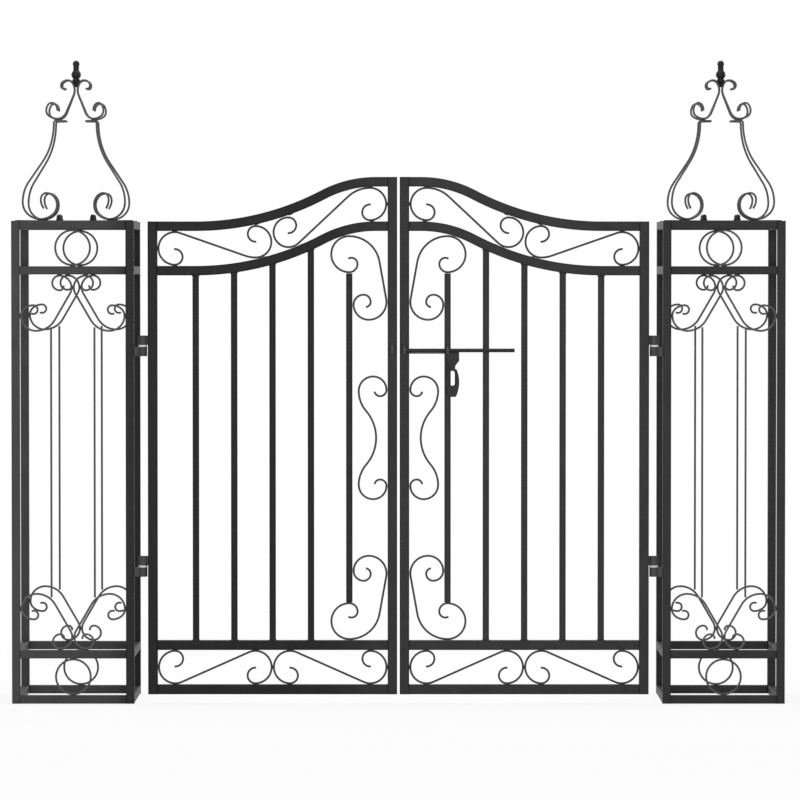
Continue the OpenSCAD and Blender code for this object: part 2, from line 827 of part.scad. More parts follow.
// Outline of the handle plate: a square head, a neck and a slotted barrel-shaped drop
module handle_outline() {
    head_h = 0.19 * handle_len;
    drop_top = 0.38 * handle_len;
    drop_mid = 0.67 * handle_len;
    side_r = 0.75 * handle_len;
    difference() {
        union() {
            polygon([
                [-handle_w / 2, 0], [-handle_w / 2, -head_h], [-handle_neck_w / 2, -0.3 * handle_len],
                [-handle_neck_w / 2, -drop_mid], [handle_neck_w / 2, -drop_mid],
                [handle_neck_w / 2, -0.3 * handle_len], [handle_w / 2, -head_h], [handle_w / 2, 0]
            ]);
            intersection() {
                translate([side_r - handle_w / 2, -drop_mid])
                    circle(side_r);
                translate([handle_w / 2 - side_r, -drop_mid])
                    circle(side_r);
                translate([-handle_w / 2, -handle_len])
                    square([handle_w, handle_len - drop_top]);
            }
        }
        translate([0, -drop_top - slot_w / 2 - 2])
            circle(d = slot_w);
        translate([0, -drop_top - slot_len + slot_w / 2 - 2])
            circle(d = slot_w);
        translate([-slot_w / 2, -drop_top - slot_len + slot_w / 2 - 2])
            square([slot_w, slot_len - slot_w]);
    }
}

module bolt_handle() {
    color(iron)
        translate([handle_x, rod_y + handle_t / 2, handle_top_z])
            rotate([90, 0, 0])
                linear_extrude(handle_t)
                    handle_outline();
}

pillar_posts();  // left_pillar_posts
pillar_face_rails();  // left_pillar_face_rails
pillar_side_rails();  // left_pillar_side_rails
panel();  // left_pillar_front_panel
back_panel();  // left_pillar_back_panel
pillar_rings();  // left_pillar_rings
crown_cross();  // left_crown_cross
crown_arms();  // left_crown_arms
finial();  // left_finial
hinge_pins();  // left_hinge_pins
hinge_washers();  // left_hinge_washers
right_half() pillar_posts();  // right_pillar_posts
right_half() pillar_face_rails();  // right_pillar_face_rails
right_half() pillar_side_rails();  // right_pillar_side_rails
right_half() panel();  // right_pillar_front_panel
right_half() back_panel();  // right_pillar_back_panel
right_half() pillar_rings();  // right_pillar_rings
right_half() crown_cross();  // right_crown_cross
right_half() crown_arms();  // right_crown_arms
right_half() finial();  // right_finial
right_half() hinge_pins();  // right_hinge_pins
right_half() hinge_washers();  // right_hinge_washers
leaf_stiles();  // left_leaf_stiles
leaf_top_rail();  // left_leaf_top_rail
leaf_second_rail();  // left_leaf_second_rail
leaf_low_rails();  // left_leaf_low_rails
leaf_balusters();  // left_leaf_balusters
leaf_band_scrolls();  // left_leaf_band_scrolls
leaf_foot_scrolls();  // left_leaf_foot_scrolls
leaf_brackets();  // left_leaf_brackets
leaf_knuckles();  // left_leaf_knuckles
bolt_keeper();
right_half() leaf_stiles();  // right_leaf_stiles
right_half() leaf_top_rail();  // right_leaf_top_rail
right_half() leaf_second_rail();  // right_leaf_second_rail
right_half() leaf_low_rails();  // right_leaf_low_rails
right_half() leaf_balusters();  // right_leaf_balusters
right_half() leaf_band_scrolls();  // right_leaf_band_scrolls
right_half() leaf_foot_scrolls();  // right_leaf_foot_scrolls
right_half() leaf_brackets();  // right_leaf_brackets
right_half() leaf_knuckles();  // right_leaf_knuckles
bolt_guides();
bolt_rod();
bolt_handle();
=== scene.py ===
# %% [markdown]
# # A wrought iron garden gate
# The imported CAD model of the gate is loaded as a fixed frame: square tubes, bent wires, hinges and bolt
# are already there as solids. This lesson adds what a welder and a painter add to them: weld beads, a tie
# bar, cap nuts, rims and the powder coat. It ends with a floor, soft light and a camera.

# %% Load the frame
import math

import bmesh
import bpy
from mathutils import Matrix, Vector


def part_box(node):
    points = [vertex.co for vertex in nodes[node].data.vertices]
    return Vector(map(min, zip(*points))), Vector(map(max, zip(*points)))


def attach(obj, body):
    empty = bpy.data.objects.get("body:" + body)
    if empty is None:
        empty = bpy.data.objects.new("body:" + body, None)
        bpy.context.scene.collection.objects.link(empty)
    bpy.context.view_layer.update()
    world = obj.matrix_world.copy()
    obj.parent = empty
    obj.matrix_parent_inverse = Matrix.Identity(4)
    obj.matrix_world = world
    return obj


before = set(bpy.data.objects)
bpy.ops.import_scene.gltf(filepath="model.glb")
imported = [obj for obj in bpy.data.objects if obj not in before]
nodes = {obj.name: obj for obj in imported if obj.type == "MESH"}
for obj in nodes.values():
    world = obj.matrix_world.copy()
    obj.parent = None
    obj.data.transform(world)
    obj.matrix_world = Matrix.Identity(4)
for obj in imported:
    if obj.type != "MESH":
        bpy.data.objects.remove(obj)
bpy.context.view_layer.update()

# %% [markdown]
# ## Sizes that the new pieces need
# A bead sits where a wire meets a bar, so these cells repeat the few sizes that fix those places. They are
# in millimetres, as on a workshop drawing, and one function turns a place into Blender's metres.

# %% Sizes of the pillars and crowns
MM = 0.001
GATE_MID = 513.5
WIRE = 3.3
WELD_GAP = 0.2
PILLAR_WIDE, PILLAR_TALL, PILLAR_TUBE, RING_BAY = 193.0, 762.0, 13.0, 58.5
PILLAR_DEPTH = PILLAR_WIDE - PILLAR_TUBE
PILLAR_AXIS_Y = PILLAR_DEPTH / 2
CROSS_THICK = 1.5
CROSS_TOP = PILLAR_TALL + CROSS_THICK
CROWN_ANGLE, FOOT_REACH, LEDGE_HEIGHT, SCROLL_REACH = 36.0, 68.0, 158.0, 36.0
CROWN_TURNS = (CROWN_ANGLE, 180 - CROWN_ANGLE, 180 + CROWN_ANGLE, 360 - CROWN_ANGLE)
print("middle of a pillar at y =", PILLAR_AXIS_Y, "mm, top of its cross at z =", CROSS_TOP, "mm")

# %% Sizes of the leaves
LEAF_X, LEAF_WIDE, LEAF_TUBE = 118.5, 393.0, 15.0
GROUND_GAP, BAND_TALL = 15.0, 55.0
BALUSTER, BALUSTER_SPACES = 10.0, 6
CLEAR_X = LEAF_WIDE - LEAF_TUBE
CLEAR_WIDE = LEAF_WIDE - 2 * LEAF_TUBE
PITCH = CLEAR_WIDE / BALUSTER_SPACES
FOOT_LOW = GROUND_GAP + LEAF_TUBE
FOOT_HIGH = FOOT_LOW + BAND_TALL
LOW_RAIL_TOP = FOOT_HIGH + LEAF_TUBE
RAIL_LOW, RAIL_RISE, RAIL_DROP = 753.5, 70.0, LEAF_TUBE + BAND_TALL
CURVE_SHARE, HOLLOW_SHARE, LOCK_FLAT = 0.782, 0.71, 19.0
CURVE_RUN = CURVE_SHARE * CLEAR_WIDE
CURVE_X = CLEAR_X - LOCK_FLAT - CURVE_RUN
CURVE_ANGLE = 2 * math.atan2(RAIL_RISE, CURVE_RUN)
HOLLOW_R = HOLLOW_SHARE * CURVE_RUN / math.sin(CURVE_ANGLE)
ROUND_R = (1 - HOLLOW_SHARE) * CURVE_RUN / math.sin(CURVE_ANGLE)
print("the top rail bends by", round(math.degrees(CURVE_ANGLE), 1), "degrees")


# %% Places on the gate
def rail_line(x):
    """Height and slope of the top rail's middle line at x from the leaf's hinge edge."""
    if x < CURVE_X:
        return RAIL_LOW, 0.0
    if x < CURVE_X + HOLLOW_R * math.sin(CURVE_ANGLE):
        turn = math.asin((x - CURVE_X) / HOLLOW_R)
        return RAIL_LOW + HOLLOW_R * (1 - math.cos(turn)), turn
    turn = math.asin(max(0.0, (CLEAR_X - LOCK_FLAT - x)) / ROUND_R)
    return RAIL_LOW + RAIL_RISE - ROUND_R * (1 - math.cos(turn)), turn


def on_side(side, x, y, z):
    """A place on the left half in millimetres, or its mirror place on the right half, in metres."""
    return Vector(((x if side == "left" else 2 * GATE_MID - x) * MM, y * MM, z * MM))


for x in (LEAF_TUBE, LEAF_WIDE / 2, CLEAR_X):
    print("top rail at", x, "mm:", [round(v, 2) for v in rail_line(x)])

# %% [markdown]
# ## Finishes
# The whole gate is steel under black powder coat. Powder melts into a skin with a fine orange peel, which
# a small noise gives as bump, and the gloss varies a little from place to place. Tubes, wire and castings
# get the same recipe with their own numbers, because wire takes a thinner coat and a casting is rougher
# under it. Their shades differ as painted light: wire is painted paler as a painted highlight, and the
# pillars paler than the leaves as painted light and shade. The corners of a tube are rolled, and the coat
# rounds them further, so the tubes' coats soften their edges with a Bevel node. Wire is round already and
# goes without. All patterns read Object coordinates, so they stay on the part when it moves.

# %% A recipe for powder coat
CLOUD_SCALE, HAZE_SCALE, PEEL_STRENGTH, EDGE_SAMPLES = 22.0, 75.0, 0.55, 6


def node_at(tree, kind, x, y, **values):
    """A new node at a place in the node editor, with these settings."""
    made = tree.nodes.new(kind)
    made.location = (x, y)
    for key, value in values.items():
        setattr(made, key, value)
    return made


def powder_coat(name, dark, pale, gloss, peel_size, peel_height, shine, edge_build=0.0):
    """A powder coat that runs between two shades and two roughnesses; peel and edges are in millimetres."""
    coat = bpy.data.materials.new(name)
    coat.use_nodes = True
    tree = coat.node_tree
    shader = tree.nodes["Principled BSDF"]
    shader.inputs["Specular IOR Level"].default_value = shine
    place = node_at(tree, "ShaderNodeTexCoord", -1100, 0)

    cloud = node_at(tree, "ShaderNodeTexNoise", -850, 250)
    cloud.inputs["Scale"].default_value = CLOUD_SCALE
    cloud.inputs["Detail"].default_value = 5.0
    cloud.inputs["Roughness"].default_value = 0.6
    shade = node_at(tree, "ShaderNodeValToRGB", -600, 250)
    shade.color_ramp.elements[0].position = 0.32
    shade.color_ramp.elements[0].color = (*dark, 1)
    shade.color_ramp.elements[1].position = 0.72
    shade.color_ramp.elements[1].color = (*pale, 1)

    haze = node_at(tree, "ShaderNodeTexNoise", -850, -50)
    haze.inputs["Scale"].default_value = HAZE_SCALE
    haze.inputs["Detail"].default_value = 3.0
    rough = node_at(tree, "ShaderNodeMapRange", -600, -50)
    rough.inputs["To Min"].default_value, rough.inputs["To Max"].default_value = gloss

    peel = node_at(tree, "ShaderNodeTexNoise", -850, -350)
    peel.inputs["Scale"].default_value = 1.0 / (peel_size * MM)
    peel.inputs["Detail"].default_value = 2.0
    skin = node_at(tree, "ShaderNodeBump", -300, -350)
    skin.inputs["Strength"].default_value = PEEL_STRENGTH
    skin.inputs["Distance"].default_value = peel_height * MM
    if edge_build:
        edge = node_at(tree, "ShaderNodeBevel", -550, -550, samples=EDGE_SAMPLES)
        edge.inputs["Radius"].default_value = edge_build * MM
        tree.links.new(edge.outputs["Normal"], skin.inputs["Normal"])

    for texture in (cloud, haze, peel):
        tree.links.new(place.outputs["Object"], texture.inputs["Vector"])
    tree.links.new(cloud.outputs["Fac"], shade.inputs["Fac"])
    tree.links.new(shade.outputs["Color"], shader.inputs["Base Color"])
    tree.links.new(haze.outputs["Fac"], rough.inputs["Value"])
    tree.links.new(rough.outputs["Result"], shader.inputs["Roughness"])
    tree.links.new(peel.outputs["Fac"], skin.inputs["Height"])
    tree.links.new(skin.outputs["Normal"], shader.inputs["Normal"])
    return coat


def grey(value):
    """A neutral black with a trace of blue."""
    return value, value, value * 1.04


# %% Coats for tube, wire, castings and welds
TUBE = dict(gloss=(0.42, 0.56), peel_size=1.1, peel_height=0.03, shine=0.14, edge_build=3.6)
BENT_WIRE = dict(gloss=(0.42, 0.55), peel_size=0.7, peel_height=0.01, shine=0.15)
CASTING = dict(gloss=(0.4, 0.6), peel_size=1.8, peel_height=0.1, shine=0.15)
WELD = dict(gloss=(0.4, 0.6), peel_size=0.9, peel_height=0.05, shine=0.15)
# The pillar coat is painted paler than the leaf coat, as painted light and shade, and the wire coats paler
# than the tube coats, as painted highlight.
leaf_coat = powder_coat("leaf_coat", grey(0.014), grey(0.020), **TUBE)
pillar_coat = powder_coat("pillar_coat", grey(0.048), grey(0.064), **TUBE)
panel_wire_coat = powder_coat("panel_wire_coat", grey(0.09), grey(0.115), **BENT_WIRE)
leaf_wire_coat = powder_coat("leaf_wire_coat", grey(0.055), grey(0.072), **BENT_WIRE)
cast_coat = powder_coat("cast_coat", grey(0.010), grey(0.020), **CASTING)
weld_coat = powder_coat("weld_coat", grey(0.020), grey(0.032), **WELD)
print("powder coats:", [m.name for m in bpy.data.materials if m.name.endswith("_coat")])

# %% [markdown]
# ## Painted light and shade along the gate
# The shade of the pillar and leaf coats carries painted light and shade along the gate. The outer side of
# the left pillar is painted lightest, and the leaf beside it darkest. A ramp along the gate's length
# multiplies the shade of the coat.

# %% Painted light and shade along the gate
PAINTED_LIGHT_FROM, PAINTED_LIGHT_TO = -0.1, 1.127
# Greys of painted light and shade along X, for the pillars and for the leaves.
PILLAR_PAINTED_LIGHT = ((-0.1, 1.05), (0.05, 0.9), (0.09, 0.22), (0.93, 0.43), (1.127, 0.47))
LEAF_PAINTED_LIGHT = ((0.1, 0.4), (0.4, 0.38), (0.47, 1.25), (0.55, 1.6), (0.92, 1.6))


def paint_light_along(coat, stops):
    """Multiply a coat's shade by a grey of painted light and shade that changes along X; a stop is a place
    in metres and a grey.
    """
    tree = coat.node_tree
    place, shade = tree.nodes["Texture Coordinate"], tree.nodes["Color Ramp"]
    split = node_at(tree, "ShaderNodeSeparateXYZ", -850, 600)
    along = node_at(tree, "ShaderNodeMapRange", -650, 600)
    along.inputs["From Min"].default_value = PAINTED_LIGHT_FROM
    along.inputs["From Max"].default_value = PAINTED_LIGHT_TO
    fade = node_at(tree, "ShaderNodeValToRGB", -450, 600)
    marks = fade.color_ramp.elements
    while len(marks) < len(stops):
        marks.new(0.5)
    for mark, (x, value) in zip(marks, stops):
        mark.position = (x - PAINTED_LIGHT_FROM) / (PAINTED_LIGHT_TO - PAINTED_LIGHT_FROM)
        mark.color = (value, value, value, 1)
    product = node_at(tree, "ShaderNodeMix", -150, 400, data_type="RGBA", blend_type="MULTIPLY")
    product.inputs["Factor"].default_value = 1.0
    tree.links.new(place.outputs["Object"], split.inputs["Vector"])
    tree.links.new(split.outputs["X"], along.inputs["Value"])
    tree.links.new(along.outputs["Result"], fade.inputs["Fac"])
    tree.links.new(shade.outputs["Color"], product.inputs["A"])
    tree.links.new(fade.outputs["Color"], product.inputs["B"])
    tree.links.new(product.outputs["Result"], tree.nodes["Principled BSDF"].inputs["Base Color"])
    print(coat.name, "fades along the gate in", len(stops), "stops")


# The pillar and leaf coats get their painted light and shade along the gate.
paint_light_along(pillar_coat, PILLAR_PAINTED_LIGHT)
paint_light_along(leaf_coat, LEAF_PAINTED_LIGHT)

# %% [markdown]
# ## A bolt that is slid by hand
# Where the rod rubs in its eyes, the coat wears thin along the rod and bare steel shows in fine streaks.
# Noise that is stretched along the rod makes streaks, and a ramp keeps only the strongest of them.

# %% Worn coat for the bolt rod
STREAKS_ALONG, STREAKS_ROUND = 30.0, 900.0
WORN_FROM, WORN_TO = 0.62, 0.76
BARE_STEEL = (0.09, 0.09, 0.092, 1)
bolt_coat = powder_coat(
    "bolt_coat", grey(0.012), grey(0.020), gloss=(0.38, 0.5), peel_size=0.9, peel_height=0.02, shine=0.15)
tree = bolt_coat.node_tree
along = node_at(tree, "ShaderNodeMapping", -850, 650)
along.inputs["Scale"].default_value = (STREAKS_ALONG, STREAKS_ROUND, STREAKS_ROUND)
streak = node_at(tree, "ShaderNodeTexNoise", -650, 650)
streak.inputs["Scale"].default_value = 1.0
streak.inputs["Detail"].default_value = 4.0
worn = node_at(tree, "ShaderNodeValToRGB", -450, 650)
worn.color_ramp.elements[0].position = WORN_FROM
worn.color_ramp.elements[1].position = WORN_TO
bare = node_at(tree, "ShaderNodeMix", -150, 400, data_type="RGBA")
bare.inputs["B"].default_value = BARE_STEEL
tree.links.new(tree.nodes["Texture Coordinate"].outputs["Object"], along.inputs["Vector"])
tree.links.new(along.outputs["Vector"], streak.inputs["Vector"])
tree.links.new(streak.outputs["Fac"], worn.inputs["Fac"])
tree.links.new(worn.outputs["Color"], bare.inputs["Factor"])
tree.links.new(tree.nodes["Color Ramp"].outputs["Color"], bare.inputs["A"])
tree.links.new(bare.outputs["Result"], tree.nodes["Principled BSDF"].inputs["Base Color"])
print("bolt coat nodes:", len(tree.nodes))

# %% [markdown]
# ## Washers
# The pale washers in the hinges are moulded nylon. Nylon is slightly clouded, and the light goes a little
# way into it, so it gets a soft grain and some subsurface scattering.

# %% Nylon
NYLON_DARK, NYLON_PALE = (0.66, 0.66, 0.64, 1), (0.82, 0.82, 0.80, 1)
nylon = bpy.data.materials.new("washer_nylon")
nylon.use_nodes = True
tree = nylon.node_tree
shader = tree.nodes["Principled BSDF"]
shader.inputs["Roughness"].default_value = 0.5
shader.inputs["Subsurface Weight"].default_value = 0.15
shader.inputs["Subsurface Scale"].default_value = 2 * MM
place = node_at(tree, "ShaderNodeTexCoord", -900, 0)
grain = node_at(tree, "ShaderNodeTexNoise", -700, 0)
grain.inputs["Scale"].default_value = 400.0
tint = node_at(tree, "ShaderNodeValToRGB", -450, 0)
tint.color_ramp.elements[0].color = NYLON_DARK
tint.color_ramp.elements[1].color = NYLON_PALE
tree.links.new(place.outputs["Object"], grain.inputs["Vector"])
tree.links.new(grain.outputs["Fac"], tint.inputs["Fac"])
tree.links.new(tint.outputs["Color"], shader.inputs["Base Color"])
print("nylon nodes:", len(tree.nodes))

# %% [markdown]
# ## Painting the frame
# A node's name says what the piece is made of, so a word in the name picks the coat. Wire on the pillars
# is painted paler than wire on the leaves, a painted highlight, so each has a coat of its own. What no word
# picks is leaf tube.

# %% Paint the CAD nodes
PANEL_WIRE = ("panel", "rings", "crown_arms")
# The guides, keeper, knuckles and hinge pins take the pale leaf wire coat as a painted highlight.
LEAF_WIRE = ("scrolls", "brackets", "guides", "keeper", "knuckles", "hinge_pins")
PAINTS = (
    (("washers",), nylon),
    (("bolt_rod",), bolt_coat),
    (("finial",), cast_coat),
    (PANEL_WIRE, panel_wire_coat),
    (LEAF_WIRE, leaf_wire_coat),
    (("pillar", "cross"), pillar_coat),
    (("",), leaf_coat),
)
for name, solid in nodes.items():
    paint = next(coat for words, coat in PAINTS if any(word in name for word in words))
    solid.data.materials.clear()
    solid.data.materials.append(paint)
print("painted", len(nodes), "nodes")

# %% [markdown]
# ## Helpers for pieces made by hand
# Every operator acts on what is selected, so each step starts by deselecting all. A finished piece keeps
# its place in its mesh, with its object at the origin, because patterns on Object coordinates would
# otherwise slide.

# %% Helpers for selecting and turning
SIDES = ("left", "right")


def only(*objs):
    """Select just these objects, the first one active."""
    bpy.ops.object.select_all(action="DESELECT")
    for obj in objs:
        obj.select_set(True)
    bpy.context.view_layer.objects.active = objs[0]


def pick_vertices(test):
    """In edit mode, select the vertices for which the test holds, and count them."""
    bpy.ops.mesh.select_mode(type="VERT")
    bpy.ops.mesh.select_all(action="DESELECT")
    mesh = bmesh.from_edit_mesh(bpy.context.object.data)
    for vertex in mesh.verts:
        vertex.select_set(test(vertex.co))
    mesh.select_flush_mode()
    bmesh.update_edit_mesh(bpy.context.object.data)
    return sum(v.select for v in mesh.verts)


def facing(along, across):
    """A turn that lays local Z along one direction and local X as near as it can across it."""
    z = Vector(along).normalized()
    y = z.cross(Vector(across)).normalized()
    return Matrix((y.cross(z), y, z)).transposed().to_4x4()


# %% Helpers for finishing a piece
SMOOTH_BELOW = math.radians(40)


def set_down(template, places, name):
    """One copy of the template at each place, joined into one piece."""
    made = []
    for place in places:
        only(template)
        bpy.ops.object.duplicate(linked=False)
        copy = bpy.context.object
        copy.matrix_world = place
        made.append(copy)
    only(*made)
    bpy.ops.object.join()
    piece = bpy.context.object
    bpy.ops.object.transform_apply(location=True, rotation=True, scale=True)
    piece.name = name
    return piece


def round_edges(width):
    """In edit mode, round all edges of the piece; the width is in millimetres."""
    bpy.ops.mesh.select_all(action="SELECT")
    bpy.ops.mesh.bevel(offset=width * MM, segments=2, affect="EDGES")


def put_away(template):
    """Delete a template that has been copied."""
    only(template)
    bpy.ops.object.delete()


def hand_over(piece, body, paint):
    """Paint a finished piece and let it ride on its body."""
    only(piece)
    bpy.ops.object.shade_smooth_by_angle(angle=SMOOTH_BELOW)
    piece.data.materials.clear()
    piece.data.materials.append(paint)
    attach(piece, body)
    print(piece.name, "rides on", body, "with", len(piece.data.polygons), "faces")


# %% [markdown]
# ## Weld beads
# Each scroll is held by short beads where its wire touches a bar. A bead is a small drop of steel that is
# longer than it is wide, with ripples where the puddle froze. A sphere is a good start: its rings become
# ripples when every second one is drawn in, and each copy is stretched along its joint. Sculpting would
# give more variety, but a bead is one or two pixels wide from where the gate is seen, so one good bead is
# copied.

# %% One bead
BEAD_RINGS, RIPPLE = 12, 0.86
RING_STEP = math.pi / BEAD_RINGS
bpy.ops.object.select_all(action="DESELECT")
bpy.ops.mesh.primitive_uv_sphere_add(segments=14, ring_count=BEAD_RINGS, radius=MM)
bead = bpy.context.object
bead.name = "bead"
bpy.ops.object.mode_set(mode="EDIT")
picked = pick_vertices(lambda co: round(math.acos(max(-1, min(1, co.z / MM))) / RING_STEP) % 2 == 1)
bpy.ops.transform.resize(value=(RIPPLE, RIPPLE, 1.0))
bpy.ops.object.mode_set(mode="OBJECT")
print("bead ripples on", picked, "vertices")

# %% [markdown]
# Where a bead goes is geometry: a roll touches a rail straight above its middle, two rolls touch half way
# between their middles, and a belly touches the bar beside its middle. The list holds the place, the
# direction along the joint, and the bead's half length, for the left half of the gate.

# %% Where the wires of a pillar touch
UP, ACROSS = (0, 0, 1), (1, 0, 0)
BEAD_LONG, BEAD_SHORT = 4.2, 3.0
HEAD_R, BELLY_R, SCROLL_TALL = 20.5, 25.5, 90.5
PANEL_LOW = 2 * PILLAR_TUBE + RING_BAY


def panel_beads(y):
    """Beads on one face of a pillar: rings, and the heads and bellies of the scrolls."""
    beads = []
    ring_low, ring_high = PILLAR_TUBE, PILLAR_TUBE + RING_BAY
    for z in (ring_low, ring_high, PILLAR_TALL - ring_high, PILLAR_TALL - ring_low):
        beads.append(((0, y, z), ACROSS, BEAD_LONG))
    head_x, belly_x = HEAD_R + WELD_GAP / 2, PILLAR_WIDE / 2 - PILLAR_TUBE
    for rail, inward in ((PILLAR_TALL - PANEL_LOW, -1), (PANEL_LOW, 1)):
        for hand in (-1, 1):
            beads.append(((hand * head_x, y, rail), ACROSS, BEAD_LONG))
            beads.append(((hand * belly_x, y, rail + inward * (SCROLL_TALL - BELLY_R)), UP, BEAD_SHORT))
        beads.append(((0, y, rail + inward * (HEAD_R + WELD_GAP)), UP, BEAD_SHORT))
    return beads


def crown_beads():
    """Beads on a crown: each arm on the cross, and each upper scroll on its ledge."""
    beads = []
    on_cross, on_ledge = WELD_GAP / 2, LEDGE_HEIGHT + WIRE / 2 + WELD_GAP / 2
    for degrees in CROWN_TURNS:
        turn = math.radians(degrees)
        out = (math.cos(turn), math.sin(turn), 0)
        for reach, rise in ((FOOT_REACH, on_cross), (SCROLL_REACH, on_ledge)):
            spot = (reach * out[0], PILLAR_AXIS_Y + reach * out[1], CROSS_TOP + rise)
            beads.append((spot, out, BEAD_LONG))
    return beads


print("beads on a panel and a crown:", len(panel_beads(0)), len(crown_beads()))

# %% Where the wires of a leaf touch
HALF_BAND = BAND_TALL / 2
SLOPE_ROLL_R = 26.0


def leaf_beads():
    """Beads on a leaf: the rolls of its long scrolls on the rails, on the stiles and on each other."""
    beads = []
    mid, mid_roll = LEAF_WIDE / 2, HALF_BAND - WELD_GAP / 2
    hinge_roll_x, lock_roll_x = LEAF_TUBE + HALF_BAND, CLEAR_X - HALF_BAND
    for x in (hinge_roll_x, mid - mid_roll, mid + mid_roll, lock_roll_x):
        for z in (FOOT_LOW, FOOT_HIGH):
            beads.append(((LEAF_X + x, 0, z), ACROSS, BEAD_LONG))
    for x in (LEAF_TUBE, mid, CLEAR_X):
        beads.append(((LEAF_X + x, 0, FOOT_LOW + HALF_BAND), UP, BEAD_SHORT))
    for x in (hinge_roll_x, mid - SLOPE_ROLL_R, mid + SLOPE_ROLL_R, lock_roll_x):
        height, slope = rail_line(x)
        along = (math.cos(slope), 0, math.sin(slope))
        normal = (-math.sin(slope), math.cos(slope))
        for off in (-LEAF_TUBE / 2, LEAF_TUBE / 2 - RAIL_DROP * math.cos(slope)):
            spot = (LEAF_X + x + off * normal[0], 0, height + off * normal[1])
            beads.append((spot, along, BEAD_LONG))
    for x in (LEAF_TUBE, CLEAR_X):
        beads.append(((LEAF_X + x, 0, rail_line(x)[0] - RAIL_DROP / 2), UP, BEAD_SHORT))
    return beads


print("beads on a leaf:", len(leaf_beads()))

# %% Lay the beads
BEAD_WIDE = 1.25
NEARLY_BACK = (0, 1, 0.001)


def bead_places(side, beads):
    """Matrices for one half of the gate."""
    places = []
    for (x, y, z), along, half in beads:
        run = Vector(along)
        if side == "right":
            run.x = -run.x
        size = Matrix.Diagonal((BEAD_WIDE, BEAD_WIDE, half, 1))
        turn = facing(run, NEARLY_BACK)
        places.append(Matrix.Translation(on_side(side, x, y, z)) @ turn @ size)
    return places


for side in SIDES:
    for part, body, beads in (
            ("pillar", "pillars", panel_beads(0) + panel_beads(PILLAR_DEPTH)),
            ("crown", "pillars", crown_beads()),
            ("leaf", f"{side}_leaf", leaf_beads())):
        welds = set_down(bead, bead_places(side, beads), f"{side}_{part}_welds")
        hand_over(welds, body, weld_coat)

# %% [markdown]
# ## Welds on the handle and the tie bar
# The handle hangs from the rod by one long bead. A short flat bar behind the rod ties the right leaf's
# short baluster to the lock stile, and a bead closes each of its ends. A cube of the bar's size is enough
# for it, with its edges rounded as on rolled flat steel.

# %% Weld of the handle
SEAM_MARGIN = 1.2
handle_low, handle_high = (Vector(corner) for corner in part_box("bolt_handle"))
seam = (handle_low + handle_high) / 2 / MM
seam.z = handle_high.z / MM + WELD_GAP / 2
seam_half = (handle_high.x - handle_low.x) / 2 / MM - SEAM_MARGIN
welds = set_down(bead, bead_places("left", [(seam, ACROSS, seam_half)]), "handle_weld")
hand_over(welds, "bolt", weld_coat)

# %% Welds of the tie bar
TIE_TALL, TIE_THICK, TIE_UNDER_ROD, TIE_FRONT = 6.0, 3.0, 2.4, -4.5
tie_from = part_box("right_leaf_stiles")[0][0] / MM + LEAF_TUBE
tie_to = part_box("right_leaf_balusters")[0][0] / MM
tie_mid_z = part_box("bolt_rod")[0][2] / MM - TIE_UNDER_ROD + TIE_TALL / 2
ends = [((x, TIE_FRONT, tie_mid_z), UP, TIE_TALL / 2) for x in (tie_from, tie_to)]
welds = set_down(bead, bead_places("left", ends), "tie_bar_welds")
hand_over(welds, "right_leaf", weld_coat)
put_away(bead)

# %% The tie bar
TIE_EDGE = 0.4
bpy.ops.object.select_all(action="DESELECT")
bpy.ops.mesh.primitive_cube_add(size=1)
tie = bpy.context.object
tie.name = "tie_bar"
tie.scale = ((tie_to - tie_from) * MM, TIE_THICK * MM, TIE_TALL * MM)
tie.location = Vector(((tie_from + tie_to) / 2, TIE_FRONT + TIE_THICK / 2, tie_mid_z)) * MM
bpy.ops.object.transform_apply(location=True, rotation=True, scale=True)
bpy.ops.object.mode_set(mode="EDIT")
round_edges(TIE_EDGE)
bpy.ops.object.mode_set(mode="OBJECT")
# The tie bar is painted with the pale panel wire coat, a painted highlight.
hand_over(tie, "right_leaf", panel_wire_coat)

# %% [markdown]
# ## Fillets at the balusters
# A baluster is welded to its rails all round, which leaves a low sloping fillet at its foot and its head.
# A cube with a smaller top face is that fillet; a bevel rounds it. The head's fillet leans with the rail.

# %% One fillet
FILLET_WIDE, FILLET_TALL, FILLET_LIP, FILLET_EDGE = 12.6, 1.8, 0.3, 0.4
TOP_SHARE = (BALUSTER + FILLET_LIP) / FILLET_WIDE
bpy.ops.object.select_all(action="DESELECT")
bpy.ops.mesh.primitive_cube_add(size=1)
fillet = bpy.context.object
fillet.name = "fillet"
fillet.scale = (FILLET_WIDE * MM, FILLET_WIDE * MM, FILLET_TALL * MM)
fillet.location.z = FILLET_TALL * MM / 2
bpy.ops.object.transform_apply(location=True, rotation=True, scale=True)
bpy.ops.object.mode_set(mode="EDIT")
pick_vertices(lambda co: co.z > FILLET_TALL * MM / 2)
bpy.ops.transform.resize(value=(TOP_SHARE, TOP_SHARE, 1.0))
round_edges(FILLET_EDGE)
bpy.ops.object.mode_set(mode="OBJECT")
print("fillet faces:", len(fillet.data.polygons))

# %% Fillets on both leaves
for side in SIDES:
    places = []
    for space in range(1, BALUSTER_SPACES - 1):
        x = LEAF_TUBE + space * PITCH
        places.append(Matrix.Translation(on_side(side, LEAF_X + x, 0, LOW_RAIL_TOP)))
        height, slope = rail_line(x)
        lean = Matrix.Rotation(-slope if side == "left" else slope, 4, "Y")
        under = height - RAIL_DROP - LEAF_TUBE / 2 / math.cos(slope)
        head = Matrix.Translation(on_side(side, LEAF_X + x, 0, under)) @ lean
        places.append(head @ Matrix.Rotation(math.pi, 4, "X"))
    fillets = set_down(fillet, places, f"{side}_baluster_welds")
    hand_over(fillets, f"{side}_leaf", weld_coat)
put_away(fillet)

